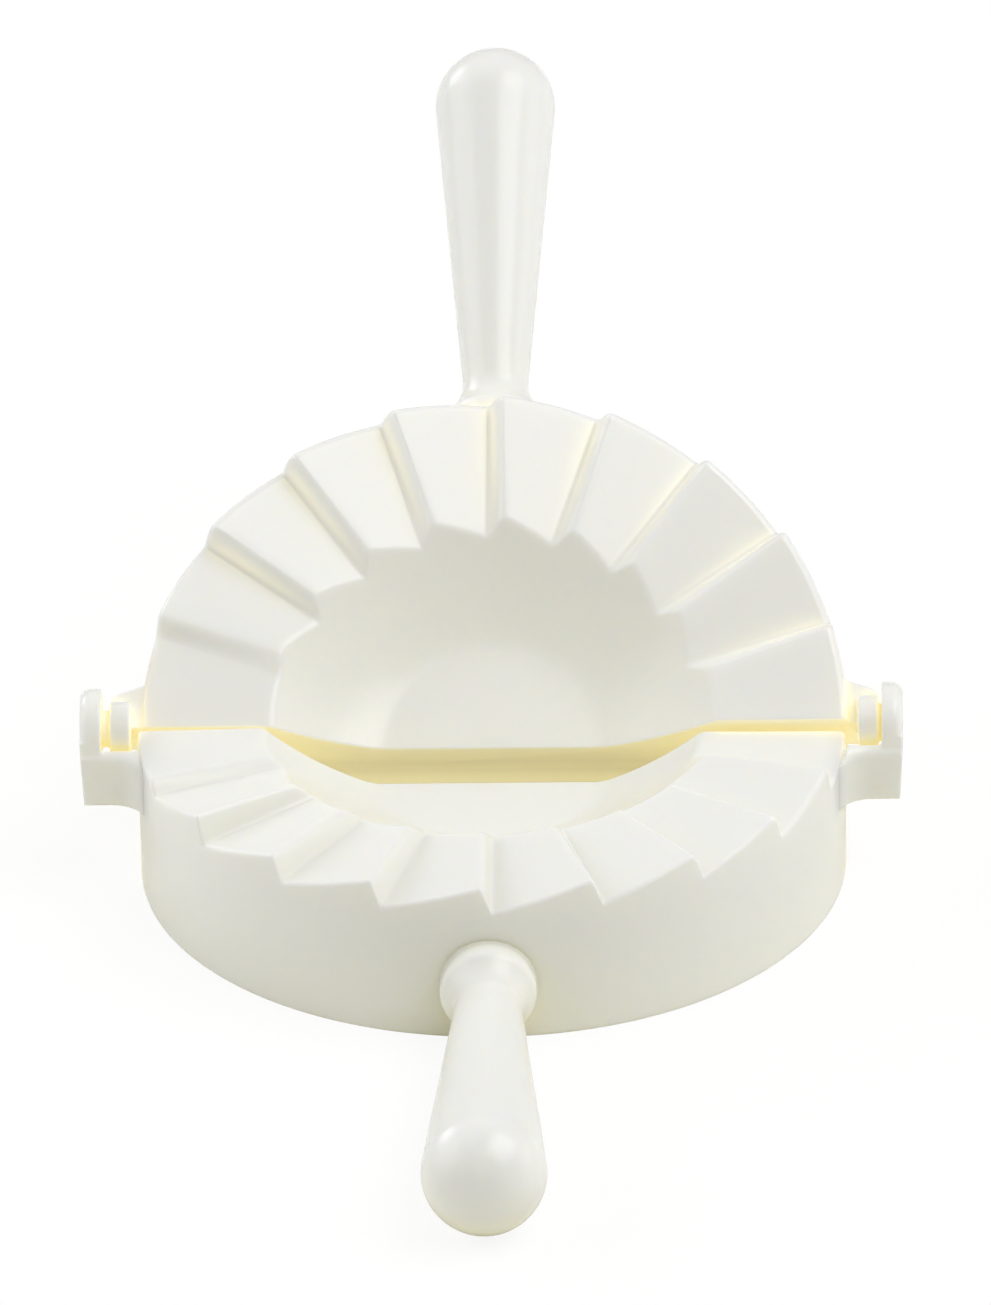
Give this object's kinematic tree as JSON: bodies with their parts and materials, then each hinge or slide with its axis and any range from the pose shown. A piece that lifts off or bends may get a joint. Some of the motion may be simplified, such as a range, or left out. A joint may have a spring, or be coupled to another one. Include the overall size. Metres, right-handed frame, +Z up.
{
  "type": "empanada press",
  "caption": "Hinged plastic press of half-discs with interlocking crimp teeth, a round filling pocket and plug-in handles.",
  "frame": {"origin": "on the plane that the lower half stands on, straight under the middle of the hinge line", "axes": "+Z up, X along the hinge line, -Y towards the lower half and its handle, +Y towards the upper half"},
  "size_m": [0.093, 0.1658, 0.0675],
  "materials": {
    "ivory_plastic": "gloss"
  },
  "bodies": {
    "lower_half": {"lower_shell": "ivory_plastic", "lower_handle": "ivory_plastic"},
    "upper_half": {"upper_shell": "ivory_plastic", "upper_handle": "ivory_plastic"}
  },
  "joints": [
    {"name": "hinge", "type": "hinge", "parent": "lower_half", "child": "upper_half", "pos_m": [0, 0, 0.0176], "axis": [1, 0, 0], "range_deg": [-38.75, 141.25]}
  ]
}
